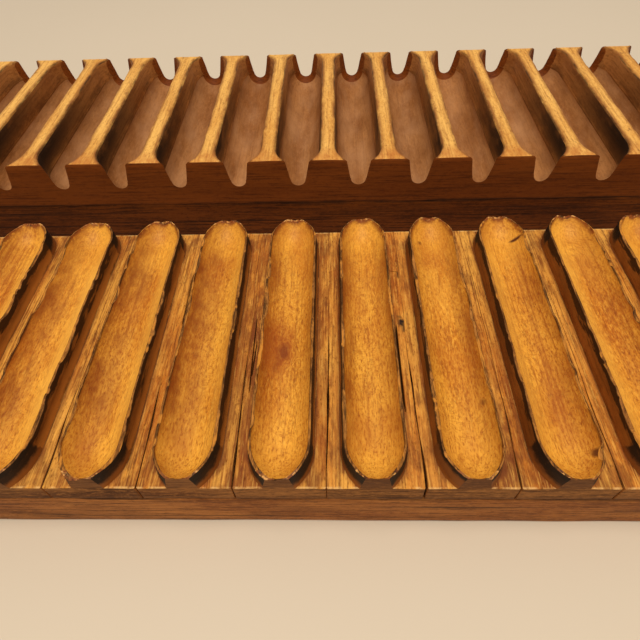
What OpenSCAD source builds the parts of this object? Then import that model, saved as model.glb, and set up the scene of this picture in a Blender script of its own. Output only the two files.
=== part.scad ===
// Wooden cigar mould of two loose halves, lying open side by side.
// X runs along the row, Y away from the viewer along the cigars, and Z is up.
// The origin is on the table, under the middle of the space between the halves.
// The half in front, at -Y, is the top half with its pressers turned up.
// The half behind, at +Y, is the bottom half with its cavities up.

/* [Row] */
// Number of cavities side by side, and of the pressers that go into them
cavity_count = 20; // [4:1:20]
// Distance from one cavity's centre line to the next
pitch = 25.4; // [24:0.1:30]
// Length of the solid block at each end of the row
end_block_l = 25.4; // [18:0.2:50]

/* [Halves] */
// Depth of each half from front to back, along the cigars
half_depth = 101.6; // [80:0.2:140]
// Thickness of the base board of each half
base_t = 18; // [12:0.5:30]
// Height of the cavity blocks above their base board
cavity_block_h = 20.9; // [19:0.1:30]
// Height of the channel floor between pressers above its base board
channel_floor_h = 7.5; // [7.4:0.1:15]
// Space between the two halves as they lie open
open_gap = 29.4; // [24:0.2:80]

/* [Cigar] */
// Radius that a presser's hollow gives the body of the cigar
cigar_r = 8.1; // [6.5:0.1:9]
// Length of the taper at each end of the cigar
taper_l = 10.5; // [9:0.1:12]
// Half the width of a presser at the end of its rim
neck_half = 2.9; // [2:0.1:4]

/* [Pressers and cavities] */
// Width of the thin rim at each side of a presser's hollow
rim_t = 0.4; // [0.2:0.05:0.8]
// Height to which the rim is worn, above the channel floor
rim_h = 7; // [6:0.1:8.5]
// Depth of the cigar's centre line below the top of the cavity blocks
centre_depth = 9; // [8.6:0.1:10]
// Slope of the side walls away from upright, in degrees
wall_draft = 7; // [3:0.5:9]
// Gap at each side between a presser and its cavity
side_gap = 0.5; // [0.4:0.05:1]
// Width of the step between a cavity's sides and its round bottom
cutter_step = 0.1; // [0.1:0.05:0.4]

/* [Locating pins] */
// Radius of a locating pin
pin_r = 4; // [3:0.25:6]
// Height of a pin above the bottom half
pin_proud = 6.8; // [5:0.1:7]
// Height of the straight part of a pin above the bottom half
pin_straight = 2.4; // [2:0.1:4]
// Radius of a pin's tip
pin_tip_r = 3; // [2:0.25:3]
// Radius of the tenon under a pin, which is glued into its end block
tenon_r = 3; // [2:0.1:3]
// Length of the tenon
tenon_l = 12; // [6:0.5:16]
// Radial gap round a pin in the hole of the top half
pin_gap = 0.5; // [0.4:0.01:0.5]
// Radial gap round a tenon in its socket, for the glue
glue_gap = 0.05; // [0.02:0.01:0.1]

/* [Screws] */
// Radius of a wood screw's shank
screw_r = 1.7; // [1.2:0.1:2]
// Radius of its countersunk head
screw_head_r = 3.6; // [3:0.1:5]
// Height of the head's cone
screw_head_h = 2.4; // [1.5:0.1:4]
// Depth of the head below the face of its base board
screw_recess = 0.6; // [0.3:0.1:2]
// Depth that a screw reaches into the block above its board
screw_bite = 6; // [4:0.1:7]
// Distance of the screw rows from the long edges
screw_edge = 12; // [8:0.5:25]
// Distance of a screw from the nearest seam between blocks
screw_from_seam = 3.1; // [2.6:0.1:4]
// Number of blocks from one pair of screws to the next, counted from the ends of the row
screw_every = 4; // [2:1:8]
// Radial gap round a screw
screw_gap = 0.05; // [0.02:0.01:0.2]
// Width and depth of the slot in a screw's head
screw_slot = 0.8; // [0.5:0.1:1]

/* [Hidden] */
$fn = 96;

// Small overrun of a cut past the face that it opens
over = 1;

row_l = cavity_count * pitch;
mould_l = row_l + 2 * end_block_l;
half_y = (open_gap + half_depth) / 2;
pin_x = (row_l + end_block_l) / 2;
body_half_l = half_depth / 2 - taper_l;

// Half the width of a presser's body at its rim, which stands below the cigar's centre line
rim_half = sqrt(pow(cigar_r, 2) - pow(centre_depth - rim_h, 2)) + rim_t;

// Half the width of a presser's body at a height above the channel floor
function presser_half(rise) = rim_half + (rim_h - rise) * tan(wall_draft);

// Half the width of a cavity's body at a depth below the top of its block
function cavity_half(depth) = presser_half(depth) + side_gap;

// Every outline, seen from above, is straight along the body and ends in arcs.
// The arcs of one side and end share one centre, at arc_x across and body_half_l along.
neck_drop = rim_half - neck_half;
arc_x = rim_half - (pow(taper_l, 2) + pow(neck_drop, 2)) / (2 * neck_drop);

function block_x(i) = (i - (cavity_count - 1) / 2) * pitch;
function two_digits(i) = i < 10 ? str("0", i) : str(i);

// Some blocks have a screw at front and back, near the seam that is further from the middle
function side_of(i) = sign(block_x(i));
function steps_in(i) = min(i, cavity_count - 1 - i);
function has_screws(i) = side_of(i) != 0 && steps_in(i) > 0 && steps_in(i) % screw_every == 0;
function screw_offset(i) = side_of(i) * (pitch / 2 - screw_from_seam);

// Places a piece on the bottom half, at a height above the table
module on_bottom_half(z = 0) {
    translate([0, half_y, z]) children();
}

// Places a piece on the top half as it lies with its pressers up
module on_top_half(z = 0) {
    translate([0, -half_y, z]) children();
}

// A box centred on X and Y, standing on z = 0
module plank(l, h) {
    translate([-l / 2, -half_depth / 2, 0]) cube([l, half_depth, h]);
}

// The form of a presser: half_0 wide at z = 0 and half_1 wide at z = h, each to one side
module lobe(half_0, half_1, h, overrun = 0) {
    wide = max(half_0, half_1) + over;
    rotate([90, 0, 0])
        linear_extrude(2 * body_half_l, center = true)
            polygon([[-half_0, 0], [half_0, 0], [half_1, h], [-half_1, h]]);
    for (end = [0, 1]) mirror([0, end, 0]) intersection() {
        for_side(1) arc_cone(half_0, half_1, h);
        for_side(-1) arc_cone(half_0, half_1, h);
        translate([-wide, body_half_l, 0]) cube([2 * wide, taper_l + overrun, h]);
    }
}

module for_side(side) {
    translate([side * arc_x, body_half_l, 0]) children();
}

// The sloping wall of a taper, as a cone about the centre of its arcs
module arc_cone(half_0, half_1, h) {
    cylinder(h = h, r1 = half_0 - arc_x, r2 = half_1 - arc_x);
}

// The round form of the cigar, half wide along its body, lying along Y
module spindle(half) {
    rotate([90, 0, 0]) rotate_extrude() {
        translate([0, -body_half_l]) square([half, 2 * body_half_l]);
        for (end = [0, 1]) mirror([0, end]) intersection() {
            translate([arc_x, body_half_l]) circle(half - arc_x);
            translate([0, body_half_l]) square([half, taper_l + over]);
        }
    }
}

// What a cutter takes out of a cavity block whose top is at z = 0
module cavity_cut() {
    step_half = cavity_half(centre_depth);
    translate([0, 0, -centre_depth]) {
        lobe(step_half, cavity_half(-over), centre_depth + over, over);
        spindle(step_half - cutter_step);
    }
}

// The places of the screws along the row: under the end blocks and in some blocks
screw_xs = concat(
    [-pin_x, pin_x],
    [for (i = [0 : cavity_count - 1]) if (has_screws(i)) block_x(i) + screw_offset(i)]
);

module at_screws() {
    for (x = screw_xs, side = [-1, 1])
        translate([x, side * (half_depth / 2 - screw_edge), 0]) children();
}

// A countersunk wood screw with its head down and its tip up, gap wider all round
module screw_form(gap = 0) {
    translate([0, 0, screw_recess]) {
        cylinder(h = screw_head_h, r1 = screw_head_r + gap, r2 = screw_r + gap);
        cylinder(h = base_t + screw_bite - screw_recess + gap, r = screw_r + gap);
    }
}

module screw() {
    difference() {
        screw_form();
        translate([-screw_head_r, -screw_slot / 2, 0])
            cube([2 * screw_head_r, screw_slot, screw_recess + screw_slot]);
    }
}

module screw_hole() {
    screw_form(screw_gap);
    translate([0, 0, -over]) cylinder(h = over + screw_recess, r = screw_head_r + screw_gap);
}

module base_board() {
    difference() {
        plank(mould_l, base_t);
        at_screws() screw_hole();
    }
}

// A block of the given size on its base board, with its screws' holes
module end_block(side, h) {
    difference() {
        translate([side * pin_x, 0, base_t]) plank(end_block_l, h);
        for (y = [-1, 1])
            translate([side * pin_x, y * (half_depth / 2 - screw_edge), 0]) screw_hole();
    }
}

// The screw holes of a block, counted from 0 along the row
module block_screw_holes(i) {
    if (has_screws(i))
        for (y = [-1, 1])
            translate([screw_offset(i), y * (half_depth / 2 - screw_edge), 0]) screw_hole();
}

module bottom_base_board() {
    color("saddlebrown") on_bottom_half() base_board();
}

module bottom_end_block(side) {
    color("peru") on_bottom_half() difference() {
        end_block(side, cavity_block_h);
        translate([side * pin_x, 0, base_t + cavity_block_h - tenon_l])
            cylinder(h = tenon_l + over, r = tenon_r + glue_gap);
    }
}

module bottom_end_block_left() { bottom_end_block(-1); }
module bottom_end_block_right() { bottom_end_block(1); }

module locating_pin(side) {
    color("burlywood") on_bottom_half(base_t + cavity_block_h)
        translate([side * pin_x, 0, 0]) {
            translate([0, 0, -tenon_l]) cylinder(h = tenon_l, r = tenon_r);
            cylinder(h = pin_straight, r = pin_r);
            translate([0, 0, pin_straight])
                cylinder(h = pin_proud - pin_straight, r1 = pin_r, r2 = pin_tip_r);
        }
}

module locating_pin_left() { locating_pin(-1); }
module locating_pin_right() { locating_pin(1); }

module bottom_screws() {
    color("dimgray") on_bottom_half() at_screws() screw();
}

module top_base_board() {
    color("sienna") on_top_half() base_board();
}

module top_end_block(side) {
    color("peru") on_top_half() difference() {
        end_block(side, channel_floor_h);
        translate([side * pin_x, 0, base_t - over])
            cylinder(h = channel_floor_h + 2 * over, r = pin_r + pin_gap);
    }
}

module top_end_block_left() { top_end_block(-1); }
module top_end_block_right() { top_end_block(1); }

module top_screws() {
    color("dimgray") on_top_half() at_screws() screw();
}

// One cavity with half a ridge at each side, counted from 0 along the row
module cavity_block(i) {
    color("chocolate") on_bottom_half() translate([block_x(i), 0, 0]) difference() {
        translate([0, 0, base_t]) plank(pitch, cavity_block_h);
        translate([0, 0, base_t + cavity_block_h]) cavity_cut();
        block_screw_holes(i);
    }
}

// One presser with half a channel at each side, counted from 0 along the row
module presser_block(i) {
    floor_z = base_t + channel_floor_h;
    color("goldenrod") on_top_half() translate([block_x(i), 0, 0]) difference() {
        union() {
            translate([0, 0, base_t]) plank(pitch, channel_floor_h);
            translate([0, 0, floor_z]) lobe(presser_half(0), presser_half(rim_h), rim_h);
        }
        translate([0, 0, floor_z + centre_depth]) spindle(cigar_r);
        block_screw_holes(i);
    }
}

bottom_base_board();
bottom_end_block_left();
bottom_end_block_right();
locating_pin_left();
locating_pin_right();
bottom_screws();
top_base_board();
top_end_block_left();
top_end_block_right();
top_screws();
for (i = [0 : cavity_count - 1]) {
    cavity_block(i);
    presser_block(i);
}
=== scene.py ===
# A wooden cigar mould, worn by use, lying open in its two halves on a pale table.
import math
import random

import bmesh
import bpy
import numpy as np
from mathutils import Matrix, Vector, noise


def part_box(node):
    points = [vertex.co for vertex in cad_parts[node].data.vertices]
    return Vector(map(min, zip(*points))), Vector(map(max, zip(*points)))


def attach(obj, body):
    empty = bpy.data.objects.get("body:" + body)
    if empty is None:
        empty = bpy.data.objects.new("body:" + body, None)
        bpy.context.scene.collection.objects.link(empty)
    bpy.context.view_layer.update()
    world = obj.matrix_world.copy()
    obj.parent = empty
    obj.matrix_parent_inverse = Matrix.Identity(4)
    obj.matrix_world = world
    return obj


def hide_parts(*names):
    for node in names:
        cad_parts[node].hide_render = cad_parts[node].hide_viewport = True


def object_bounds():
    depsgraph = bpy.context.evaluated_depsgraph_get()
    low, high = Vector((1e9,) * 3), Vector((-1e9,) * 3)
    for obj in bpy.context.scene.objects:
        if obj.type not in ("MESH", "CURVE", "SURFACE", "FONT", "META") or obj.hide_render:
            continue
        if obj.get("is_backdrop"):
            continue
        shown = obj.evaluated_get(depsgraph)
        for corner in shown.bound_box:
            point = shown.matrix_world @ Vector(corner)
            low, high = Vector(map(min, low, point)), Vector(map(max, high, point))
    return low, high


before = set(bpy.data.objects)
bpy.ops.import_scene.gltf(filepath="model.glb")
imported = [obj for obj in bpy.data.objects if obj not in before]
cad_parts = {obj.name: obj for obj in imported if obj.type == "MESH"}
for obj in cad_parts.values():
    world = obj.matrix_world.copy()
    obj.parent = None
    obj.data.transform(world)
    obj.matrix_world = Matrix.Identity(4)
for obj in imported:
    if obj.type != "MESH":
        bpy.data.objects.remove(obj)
cad_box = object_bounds()

# Millimetres are used for all that is worked on a block, and the scene itself is in metres
MM = 0.001

# Sizes of the cutter's forms, in mm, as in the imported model
CIGAR_R = 8.1
TAPER_L = 10.5
NECK_HALF = 2.9
RIM_T = 0.4
RIM_H = 7.0
CENTRE_DEPTH = 9.0
WALL_DRAFT = math.radians(7)
SIDE_GAP = 0.5

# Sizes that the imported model's boxes give, in mm
block_low, block_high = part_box("presser_block_01")
PITCH = (block_high.x - block_low.x) / MM
HALF_DEPTH = (block_high.y - block_low.y) / MM
TOP_HALF_Y = (block_high.y + block_low.y) / 2 / MM
BOTTOM_HALF_Y = sum(corner.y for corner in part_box("cavity_block_01")) / 2 / MM
BOARD_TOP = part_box("top_base_board")[1].z / MM
CHANNEL_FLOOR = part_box("top_end_block_left")[1].z / MM
MOUTH_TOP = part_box("cavity_block_01")[1].z / MM
BLOCKS = sum(name.startswith("presser_block_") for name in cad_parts)

BODY_HALF_L = HALF_DEPTH / 2 - TAPER_L
RIM_HALF = math.sqrt(CIGAR_R**2 - (CENTRE_DEPTH - RIM_H) ** 2) + RIM_T
NECK_DROP = RIM_HALF - NECK_HALF
ARC_X = RIM_HALF - (TAPER_L**2 + NECK_DROP**2) / (2 * NECK_DROP)


def half_width(along, half):
    """Half the width, at a place along it, of an outline that is half wide along its body."""
    into_taper = np.maximum(np.abs(along) - BODY_HALF_L, 0)
    return ARC_X + np.sqrt(np.maximum((half - ARC_X) ** 2 - into_taper**2, 0))


def presser_half(rise):
    """Half the width of a presser's body at a height above the channel floor."""
    return RIM_HALF + (RIM_H - rise) * math.tan(WALL_DRAFT)


def hollow_half(along, rise):
    """Half the width of a presser's hollow at a place along it and a height."""
    radius = half_width(along, CIGAR_R)
    return np.sqrt(np.maximum(radius**2 - (CENTRE_DEPTH - rise) ** 2, 0.01))


MOUTH_HALF = presser_half(0) + SIDE_GAP


def block_x(number):
    """The middle of a block, counted from 1 at the left, in mm."""
    return (number - (BLOCKS + 1) / 2) * PITCH


# Working in edit mode


def start_editing(piece, mode="FACE"):
    bpy.ops.object.select_all(action="DESELECT")
    bpy.context.view_layer.objects.active = piece
    piece.select_set(True)
    bpy.ops.object.mode_set(mode="EDIT")
    bpy.ops.mesh.select_mode(type=mode)
    bpy.ops.mesh.select_all(action="DESELECT")


def stop_editing():
    bpy.ops.object.mode_set(mode="OBJECT")


def select_faces(piece, wanted):
    """Selects, in edit mode, the faces whose middle, in mm, and normal are wanted."""
    bpy.ops.mesh.select_all(action="DESELECT")
    mesh = bmesh.from_edit_mesh(piece.data)
    for face in mesh.faces:
        if wanted(face.calc_center_median() / MM, face.normal):
            face.select_set(True)
    bmesh.update_edit_mesh(piece.data)


def select_edges(piece, wanted):
    """Selects, in edit mode, the edges whose two ends, in mm, are wanted."""
    bpy.ops.mesh.select_all(action="DESELECT")
    mesh = bmesh.from_edit_mesh(piece.data)
    for edge in mesh.edges:
        if wanted(edge.verts[0].co / MM, edge.verts[1].co / MM):
            edge.select_set(True)
    bmesh.update_edit_mesh(piece.data)


def cut(axis, place):
    """Cuts the selected faces along a plane square to an axis, at a place in mm."""
    normal = [0, 0, 0]
    normal[axis] = 1
    point = [place * MM * n for n in normal]
    bpy.ops.mesh.bisect(plane_co=point, plane_no=normal)


def cut_faces(piece, wanted, axis, places):
    for place in places:
        select_faces(piece, wanted)
        cut(axis, place)


def cut_through(axis, places):
    for place in places:
        bpy.ops.mesh.select_all(action="SELECT")
        cut(axis, place)


def merged_copy(node, name):
    """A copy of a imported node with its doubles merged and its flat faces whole."""
    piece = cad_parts[node].copy()
    piece.data = piece.data.copy()
    piece.name = name
    piece.parent = None
    piece.data.materials.clear()
    bpy.context.scene.collection.objects.link(piece)
    start_editing(piece)
    bpy.ops.mesh.customdata_custom_splitnormals_clear()
    bpy.ops.mesh.select_all(action="SELECT")
    bpy.ops.mesh.remove_doubles(threshold=0.001 * MM)
    bpy.ops.mesh.dissolve_limited(angle_limit=math.radians(0.4))
    stop_editing()
    return piece


def stations(low, high, step, jitter, rng):
    """Uneven places between low and high, about a step apart."""
    count = round((high - low) / step)
    return [
        low + (high - low) * (k + rng.uniform(-jitter, jitter)) / count
        for k in range(1, count)
    ]


# Working on all points of a mesh at once


def points_of(piece):
    co = np.zeros(len(piece.data.vertices) * 3)
    piece.data.vertices.foreach_get("co", co)
    return co.reshape(-1, 3) / MM


def set_points(piece, points):
    piece.data.vertices.foreach_set("co", (points * MM).ravel())
    piece.data.update()


def normals_of(piece):
    normals = np.zeros(len(piece.data.vertices) * 3)
    piece.data.vertex_normals.foreach_get("vector", normals)
    return normals.reshape(-1, 3)


def swell(points, size, seed):
    """Smooth noise from about -1 to 1 at each point, its swellings as long as size says."""
    scaled = points / np.array(size) + np.array([seed * 7.3, seed * 3.1, seed * 5.7])
    return np.array([noise.noise(p) for p in scaled.tolist()])


def set_attribute(piece, name, values):
    made = piece.data.attributes.get(name)
    if made is None:
        made = piece.data.attributes.new(name, "FLOAT", "POINT")
    made.data.foreach_set("value", np.asarray(values, np.float32))


def smooth_step(value, low, high):
    t = np.clip((value - low) / (high - low), 0, 1)
    return t * t * (3 - 2 * t)


def finish_piece(piece, body, slot, *nodes):
    """Shades a piece, ties it to its body and hides the nodes that it stands for; the slot is not used."""
    bpy.ops.object.select_all(action="DESELECT")
    bpy.context.view_layer.objects.active = piece
    piece.select_set(True)
    bpy.ops.object.shade_smooth_by_angle(angle=math.radians(32))
    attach(piece, body)
    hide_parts(*nodes)
    return piece


def give_materials(piece, materials, region_of):
    """Gives each face the material of its region."""
    names = list(materials)
    for name in names:
        piece.data.materials.append(materials[name])
    for face in piece.data.polygons:
        region = region_of(face.center / MM, face.normal)
        face.material_index = names.index(region)


# Node groups and materials


def add(tree, kind, inputs=None, **settings):
    """Adds a shader node, sets its properties, and fills its inputs with values or links."""
    made = tree.nodes.new("ShaderNode" + kind)
    for name, value in settings.items():
        setattr(made, name, value)
    for name, value in (inputs or {}).items():
        fill(tree, made.inputs[name], value)
    return made


def fill(tree, socket, value):
    if isinstance(value, bpy.types.NodeSocket):
        tree.links.new(value, socket)
    else:
        socket.default_value = value


def paint(red, green, blue):
    """A linear colour from the usual 0 to 255 values."""
    parts = [c / 255 for c in (red, green, blue)]
    linear = [c / 12.92 if c <= 0.04045 else ((c + 0.055) / 1.055) ** 2.4 for c in parts]
    return (*linear, 1)


def mix(tree, share, under, over, blend="MIX"):
    made = add(tree, "Mix", {0: share, 6: under, 7: over}, data_type="RGBA", blend_type=blend)
    return made.outputs[2]


def calculate(tree, operation, *values, clamp=False):
    made = add(tree, "Math", dict(enumerate(values)), operation=operation, use_clamp=clamp)
    return made.outputs[0]


def rise_between(tree, value, low, high):
    """A mask that goes smoothly from 0 at low to 1 at high; low may be the larger."""
    made = add(tree, "MapRange", {"Value": value, "From Min": low, "From Max": high})
    made.interpolation_type = "SMOOTHSTEP"
    return made.outputs["Result"]


def stretched_noise(tree, point, frequency, seed, detail, roughness=0.5):
    """Noise of the given number of swellings per mm along each axis."""
    scaled = add(tree, "VectorMath", {0: point, 1: frequency}, operation="MULTIPLY")
    inputs = {"Vector": scaled.outputs[0], "W": seed, "Scale": 1.0, "Detail": detail}
    inputs["Roughness"] = roughness
    return add(tree, "TexNoise", inputs, noise_dimensions="4D").outputs[0]


def new_group(name, inputs, outputs):
    """An empty node group with named sockets, and its input and output nodes."""
    tree = bpy.data.node_groups.new(name, "ShaderNodeTree")
    for socket, (kind, value) in inputs.items():
        made = tree.interface.new_socket(socket, in_out="INPUT", socket_type=kind)
        if value is not None:
            made.default_value = value
    for socket in outputs:
        tree.interface.new_socket(socket, in_out="OUTPUT", socket_type="NodeSocketFloat")
    return tree, tree.nodes.new("NodeGroupInput"), tree.nodes.new("NodeGroupOutput")


VECTOR = "NodeSocketVector"
NUMBER = "NodeSocketFloat"


def speckle(tree, point, frequency, reach, share):
    """Short dark dashes, one in each cell of a stretched pattern, in a share of the cells."""
    scaled = add(tree, "VectorMath", {0: point, 1: frequency}, operation="MULTIPLY")
    cells = add(tree, "TexVoronoi", {"Vector": scaled.outputs[0], "Scale": 1.0})
    size = add(tree, "SeparateColor", {0: cells.outputs["Color"]}).outputs[0]
    chosen = rise_between(tree, size, 1 - share, 1.0)
    return rise_between(tree, cells.outputs["Distance"], calculate(tree, "MULTIPLY", chosen, reach), 0.0)


def grain_group():
    """The patterns of wood whose grain runs along Y, from its broad figure to its pores."""
    inputs = {"Point": (VECTOR, None), "Seed": (NUMBER, 0.0)}
    names = ["Figure", "Streaks", "Flecks", "Curls", "Fibres", "Pores"]
    tree, given, result = new_group("wood_grain", inputs, names)
    point, seed = given.outputs["Point"], given.outputs["Seed"]
    figure = stretched_noise(tree, point, (0.11, 0.022, 0.11), seed, 3.0)
    streaks = stretched_noise(tree, point, (1.1, 0.04, 1.1), seed, 6.0, 0.62)
    flecks = stretched_noise(tree, point, (1.2, 0.4, 1.2), seed, 5.0, 0.72)
    fibres = stretched_noise(tree, point, (4.5, 0.3, 4.5), seed, 4.0, 0.6)
    bent = stretched_noise(tree, point, (0.09, 0.05, 0.09), seed, 2.0)
    aside = add(tree, "CombineXYZ", {1: calculate(tree, "MULTIPLY", bent, 40.0)}).outputs[0]
    bent_point = add(tree, "VectorMath", {0: point, 1: aside}, operation="ADD").outputs[0]
    wavy = stretched_noise(tree, bent_point, (0.55, 1.5, 0.55), seed, 2.0)
    curls = rise_between(tree, wavy, 0.5, 0.66)
    small = speckle(tree, point, (1.6, 0.6, 1.6), 0.5, 0.75)
    large = speckle(tree, point, (0.5, 0.2, 0.5), 0.3, 0.22)
    pores = calculate(tree, "MAXIMUM", small, large)
    for name, value in zip(names, (figure, streaks, flecks, curls, fibres, pores)):
        fill(tree, result.inputs[name], value)
    return tree


def tone_group():
    """What differs from block to block: a random tone, and how far a point is across its block."""
    inputs = {"Point": (VECTOR, None), "Salt": (NUMBER, 0.0)}
    tree, given, result = new_group("block_tone", inputs, ["Tone", "Across", "Number"])
    x = add(tree, "SeparateXYZ", {0: given.outputs["Point"]}).outputs[0]
    place = calculate(tree, "DIVIDE", x, PITCH)
    number = calculate(tree, "FLOOR", place)
    middle = calculate(tree, "ADD", number, 0.5)
    salted = calculate(tree, "ADD", middle, given.outputs["Salt"])
    tone = add(tree, "TexWhiteNoise", {"W": salted}, noise_dimensions="1D").outputs["Value"]
    across = calculate(tree, "MULTIPLY", calculate(tree, "SUBTRACT", place, middle), PITCH)
    fill(tree, result.inputs["Tone"], tone)
    fill(tree, result.inputs["Across"], across)
    fill(tree, result.inputs["Number"], middle)
    return tree


def blotch_group():
    """Ragged patches that cover about the share of the surface that Amount gives."""
    inputs = {
        "Point": (VECTOR, None),
        "Frequency": (VECTOR, (0.3, 0.1, 0.3)),
        "Seed": (NUMBER, 0.0),
        "Amount": (NUMBER, 0.3),
        "Softness": (NUMBER, 0.08),
    }
    tree, given, result = new_group("blotches", inputs, ["Mask"])
    value = stretched_noise(tree, given.outputs["Point"], given.outputs["Frequency"], given.outputs["Seed"], 7.0, 0.62)
    spread = calculate(tree, "MULTIPLY", calculate(tree, "SUBTRACT", 0.5, given.outputs["Amount"]), 0.6)
    edge = calculate(tree, "ADD", 0.5, spread)
    above = calculate(tree, "SUBTRACT", value, edge)
    mask = rise_between(tree, above, calculate(tree, "MULTIPLY", given.outputs["Softness"], -1.0), given.outputs["Softness"])
    fill(tree, result.inputs["Mask"], mask)
    return tree


GRAIN = grain_group()
TONE = tone_group()
BLOTCHES = blotch_group()


class Finish:
    """A wood finish being built up: its colour so far, and the patterns its layers use."""

    def __init__(self, name, base, grain_along="y", seed=0.0, shine=0.2):
        self.material = bpy.data.materials.new(name)
        self.material.use_nodes = True
        self.tree = self.material.node_tree
        self.shader = self.tree.nodes["Principled BSDF"]
        self.shader.inputs["Specular IOR Level"].default_value = shine
        place = add(self.tree, "TexCoord").outputs["Object"]
        in_mm = add(self.tree, "VectorMath", {0: place, "Scale": 1 / MM}, operation="SCALE")
        self.point = in_mm.outputs[0]
        turn = math.pi / 2 if grain_along == "x" else 0
        turned = add(self.tree, "Mapping", {"Vector": self.point, "Rotation": (0, 0, turn)})
        self.turned = turned.outputs[0]
        self.grain = self.group(GRAIN, Point=self.turned, Seed=seed)
        self.tone = self.group(TONE, Point=self.point, Salt=seed)
        self.seed = seed
        self.colour = base

    def group(self, group, **inputs):
        placed = self.tree.nodes.new("ShaderNodeGroup")
        placed.node_tree = group
        for name, value in inputs.items():
            fill(self.tree, placed.inputs[name], value)
        return placed.outputs

    def attribute(self, name):
        return add(self.tree, "Attribute", attribute_name=name).outputs["Fac"]

    def height(self):
        return add(self.tree, "SeparateXYZ", {0: self.point}).outputs[2]

    def along(self):
        return add(self.tree, "SeparateXYZ", {0: self.point}).outputs[1]

    def blotches(self, frequency, amount, softness=0.08, seed=1.0):
        inputs = {"Point": self.turned, "Frequency": frequency, "Seed": self.seed + seed}
        return self.group(BLOTCHES, Amount=amount, Softness=softness, **inputs)["Mask"]

    def band(self, value, low, high):
        return rise_between(self.tree, value, low, high)

    def times(self, a, b):
        return calculate(self.tree, "MULTIPLY", a, b)

    def layer(self, colour, mask, blend="MIX"):
        self.colour = mix(self.tree, mask, self.colour, colour, blend)

    def wood_figure(self, dark, light, streaks=0.5, flecks=0.4, pores=0.6, tone=0.25):
        """The broad figure, the streaks, each block's own tone, the flecks and the pores."""
        figure = self.band(self.grain["Figure"], 0.36, 0.62)
        self.layer(light, self.times(figure, 0.7))
        streak = self.band(self.grain["Streaks"], 0.47, 0.64)
        self.layer(dark, self.times(streak, streaks))
        self.layer(dark, self.times(self.tone["Tone"], tone))
        self.layer(light, self.times(self.band(self.grain["Flecks"], 0.5, 0.38), flecks * 0.8))
        self.layer(dark, self.times(self.band(self.grain["Flecks"], 0.53, 0.64), flecks))
        fine = self.band(self.grain["Fibres"], 0.5, 0.72)
        self.layer(dark, self.times(fine, 0.4 * streaks))
        self.layer(dark, self.times(self.grain["Pores"], pores))

    def done(self, roughness, bump=0.3, depth=0.12):
        """Links the colour, an uneven roughness and the grain's bump to the shader."""
        tree = self.tree
        fill(tree, self.shader.inputs["Base Color"], self.colour)
        spread = add(tree, "MapRange", {"Value": self.grain["Streaks"], "To Min": roughness - 0.1, "To Max": roughness + 0.12})
        fill(tree, self.shader.inputs["Roughness"], spread.outputs["Result"])
        raised = calculate(tree, "ADD", self.grain["Streaks"], self.times(self.grain["Fibres"], 0.5))
        height = calculate(tree, "SUBTRACT", raised, self.times(self.grain["Pores"], 0.8))
        relief = add(tree, "Bump", {"Strength": bump, "Distance": depth * MM, "Height": height})
        fill(tree, self.shader.inputs["Normal"], relief.outputs[0])
        return self.material


# Near-black for tobacco residue, also used as painted shade under rims, in creases and on cavity walls
BLACK_RESIDUE_AND_SHADE = paint(38, 22, 10)
DARK_BROWN = paint(92, 46, 16)


KNOT_BLOCK, KNOT_ACROSS, KNOT_ALONG = 10, -1.5, -6.7


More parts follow.
